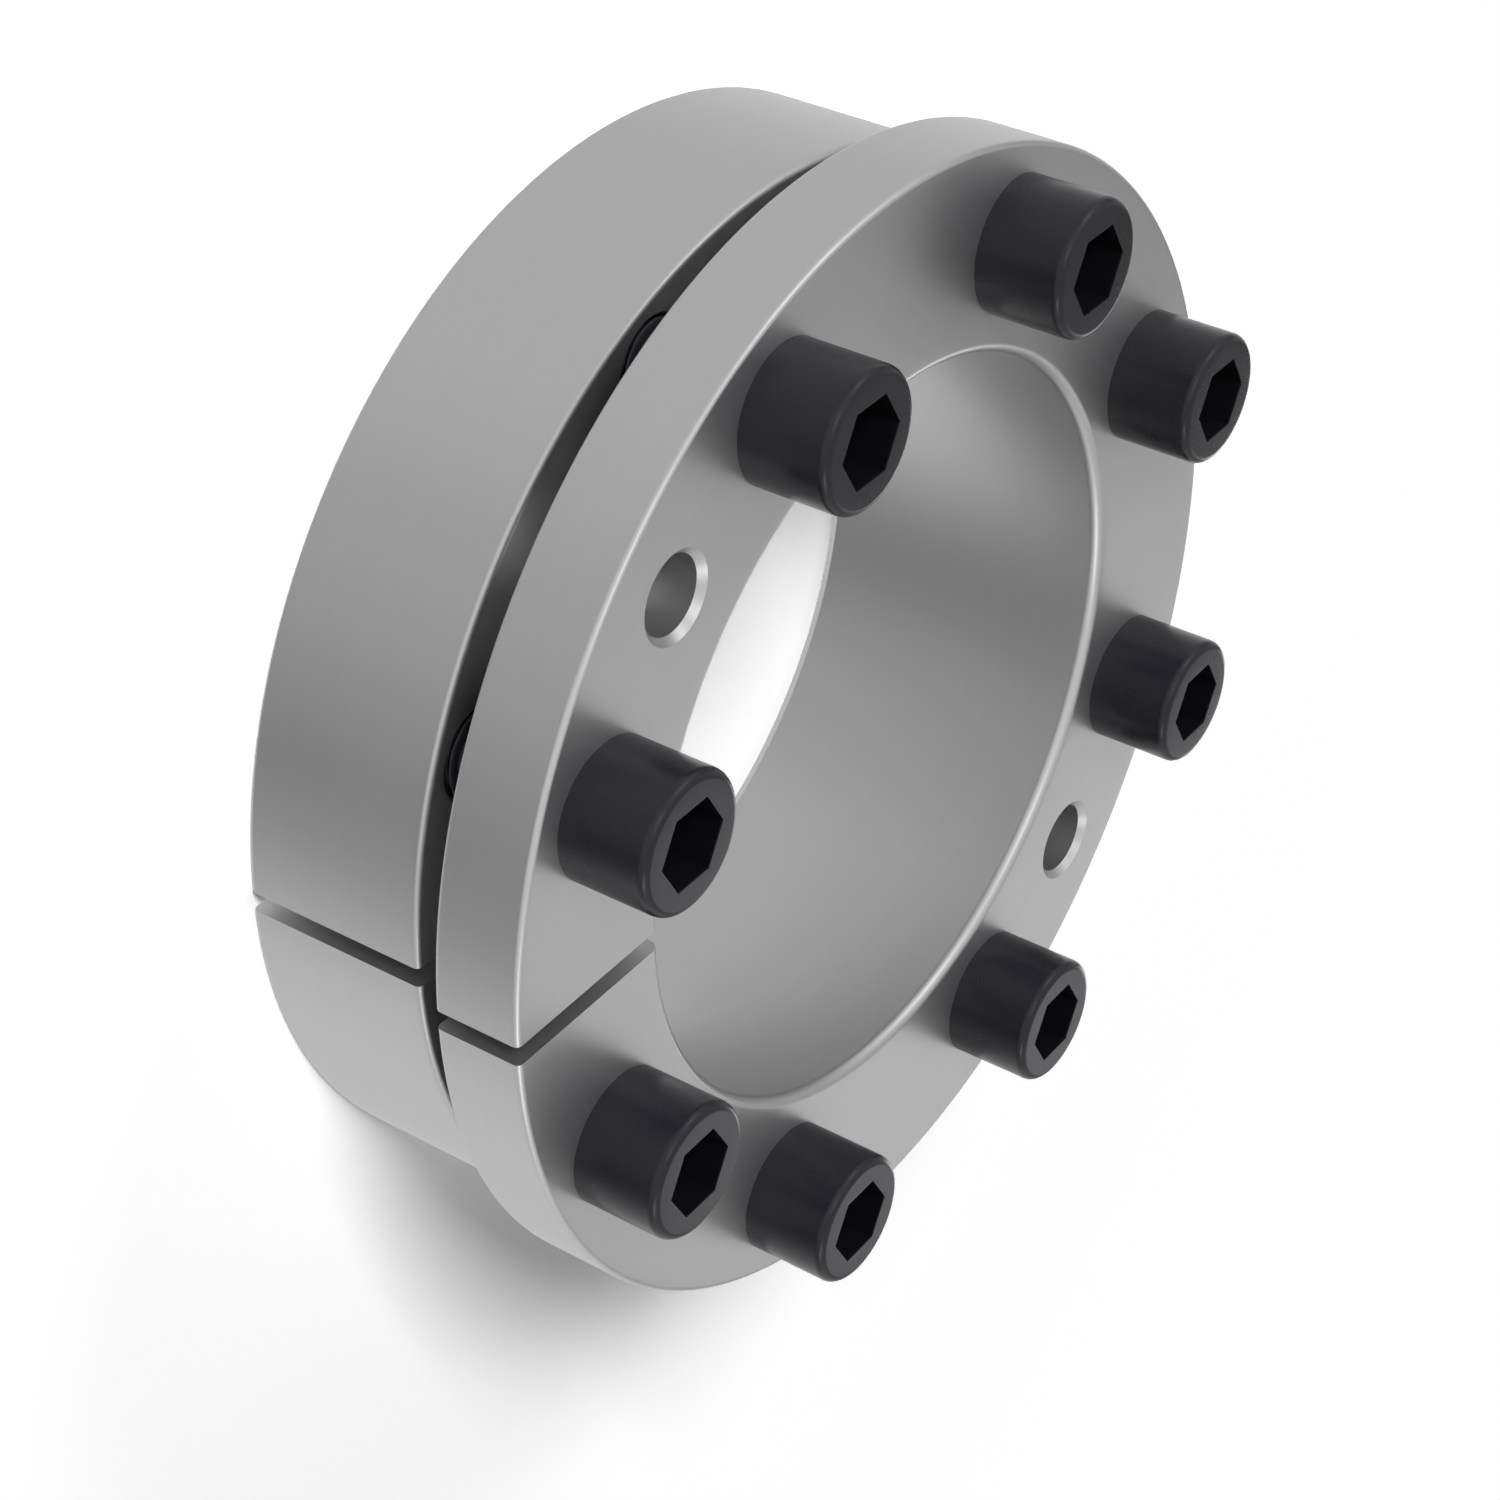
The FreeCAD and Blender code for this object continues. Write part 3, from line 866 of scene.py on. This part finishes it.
def place_object(item, right, up, back, place):
    """Link an object whose X, Y and Z axes are these three directions, at a place."""
    matrix = np.eye(4)
    matrix[:3, :3] = np.stack([right, up, back], 1)
    matrix[:3, 3] = place
    item.matrix_world = Matrix(matrix.tolist())
    bpy.context.scene.collection.objects.link(item)


def add_lamp(name, place, size, power):
    """A square area lamp that faces the part."""
    lamp = bpy.data.lights.new(name, "AREA")
    lamp.shape, lamp.size, lamp.energy = "SQUARE", size, power
    holder = bpy.data.objects.new(name, lamp)
    back = np.array(place, float) - np.array(LAMP_AIM, float)
    back /= np.linalg.norm(back)
    right = np.cross((0.0, 0.0, 1.0), back)
    right /= np.linalg.norm(right)
    place_object(holder, right, np.cross(back, right), back, place)
    return holder


def build_lamps(settings):
    """Every lamp of the table. Its place is its distance times the direction's (cos, sin), with
    the elevation's cosine for x and y and its sine for z."""
    for name, direction, elevation, distance, size, power, shown in LAMPS:
        turn, rise = math.radians(direction), math.radians(elevation)
        flat = distance * math.cos(rise)
        place = (flat * math.cos(turn), flat * math.sin(turn), distance * math.sin(rise))
        lamp = add_lamp(name, place, size, power * settings.lamp_share)
        lamp.visible_glossy = shown
        lamp.visible_diffuse = not shown


def build_world(settings):
    """Soft light all round. The camera sees it as white, and glossy rays see the ground and the
    sky's bands: their tone depends on the direction, and the elevation arcsin(z) mixes them."""
    world = bpy.data.worlds.new("studio")
    bpy.context.scene.world = world
    tree = Tree(world)
    x, y, z = tree.coordinates()[1:]
    rise = z.maths("ARCSINE") * (180 / math.pi)
    bands = [direction_tones(tree, x, y, stops) for stops in (GROUND, LOW_SKY, HIGH_SKY)]
    lower = ((rise - GROUND_END) / (LOW_START - GROUND_END)).clamped()
    upper = ((rise - LOW_END) / (HIGH_START - LOW_END)).clamped()
    top = ((rise - HIGH_START) / (HIGH_END - HIGH_START)).clamped()
    sky = tree.mix(upper, tree.mix(lower, bands[0], bands[1]), bands[2])
    sky = tree.mix(top, sky, colour_of([SKY_TOP] * 3))
    white = (1.0, 1.0, 1.0, 1.0)
    light = tree.node("ShaderNodeBackground", None, Color=white,
                      Strength=settings.world_strength)
    seen_sky = tree.node("ShaderNodeBackground", None, Color=sky, Strength=1.0)
    seen_white = tree.node("ShaderNodeBackground", None, Color=white, Strength=1.0)
    path = tree.add("ShaderNodeLightPath")
    seen = Expression(tree, path.outputs["Is Camera Ray"])
    glossy = Expression(tree, path.outputs["Is Glossy Ray"])
    shaded = tree.node("ShaderNodeMixShader", None, glossy, light, seen_sky)
    tree.add("ShaderNodeOutputWorld", None,
             tree.node("ShaderNodeMixShader", None, seen, shaded, seen_white))


def build_camera(settings):
    """The camera of the photograph, rolled so that minus X points up in the picture."""
    right = (0.00755574, 0.58053925, 0.8141972)
    up = (-0.8101639, 0.4808267, -0.33532096)
    back = (-0.58615474, -0.6570996, 0.47396497)
    place = (-0.263832, -0.30916, 0.244455)
    data = bpy.data.cameras.new("photo camera")
    data.lens, data.sensor_width, data.sensor_fit = settings.lens, SENSOR_WIDTH, "HORIZONTAL"
    data.clip_start, data.clip_end = NEAR_CLIP, settings.clip
    camera = bpy.data.objects.new("photo camera", data)
    place_object(camera, right, up, back, place)
    bpy.context.scene.camera = camera


class LOCKING_OT_inner_ring(bpy.types.Operator):
    """Build the inner ring with its flange"""

    bl_idname = "locking.inner_ring"
    bl_label = "Inner ring"

    def execute(self, context):
        scene = context.scene
        steel = found_material("turned steel", turned_steel)
        build_inner_ring(scene.locking_rings, scene.locking_screws, steel)
        return {"FINISHED"}


class LOCKING_OT_outer_ring(bpy.types.Operator):
    """Build the outer ring"""

    bl_idname = "locking.outer_ring"
    bl_label = "Outer ring"

    def execute(self, context):
        scene = context.scene
        steel = found_material("turned steel", turned_steel)
        build_outer_ring(scene.locking_rings, scene.locking_screws, steel)
        return {"FINISHED"}


class LOCKING_OT_screws(bpy.types.Operator):
    """Build the circle of cap screws"""

    bl_idname = "locking.screws"
    bl_label = "Cap screws"

    def execute(self, context):
        build_screws(context.scene.locking_screws, found_material("black oxide", black_oxide))
        return {"FINISHED"}


class LOCKING_OT_studio(bpy.types.Operator):
    """Build the floor, the lamps and the camera"""

    bl_idname = "locking.studio"
    bl_label = "Studio"

    def execute(self, context):
        settings = context.scene.locking_studio
        build_floor(settings)
        build_world(settings)
        build_lamps(settings)
        build_camera(settings)
        context.scene.view_settings.view_transform = "Standard"
        return {"FINISHED"}


class LOCKING_PT_sidebar(bpy.types.Panel):
    """Lists the pieces and their settings"""

    bl_idname = "LOCKING_PT_sidebar"
    bl_label = "Locking assembly"
    bl_space_type = "VIEW_3D"
    bl_region_type = "UI"
    bl_category = "Locking assembly"

    def draw(self, context):
        for operator in OPERATORS:
            self.layout.operator(operator.bl_idname)
        for name, group in SETTINGS.items():
            settings = getattr(context.scene, name)
            for key in group.__annotations__:
                self.layout.prop(settings, key)


SETTINGS = {
    "locking_rings": RingSizes,
    "locking_screws": ScrewSizes,
    "locking_finishes": Finishes,
    "locking_studio": StudioSettings,
}
OPERATORS = (LOCKING_OT_inner_ring, LOCKING_OT_outer_ring, LOCKING_OT_screws,
             LOCKING_OT_studio)
CLASSES = (*SETTINGS.values(), *OPERATORS, LOCKING_PT_sidebar)


def register():
    """Register the classes and give the scene its settings."""
    for item in CLASSES:
        bpy.utils.register_class(item)
    for name, group in SETTINGS.items():
        setattr(bpy.types.Scene, name, PointerProperty(type=group))


def unregister():
    """Take the settings and the classes back."""
    for name in SETTINGS:
        delattr(bpy.types.Scene, name)
    for item in reversed(CLASSES):
        bpy.utils.unregister_class(item)


def main():
    """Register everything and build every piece."""
    register()
    for operator in OPERATORS:
        group, name = operator.bl_idname.split(".")
        getattr(getattr(bpy.ops, group), name)()


if __name__ == "__main__":
    main()
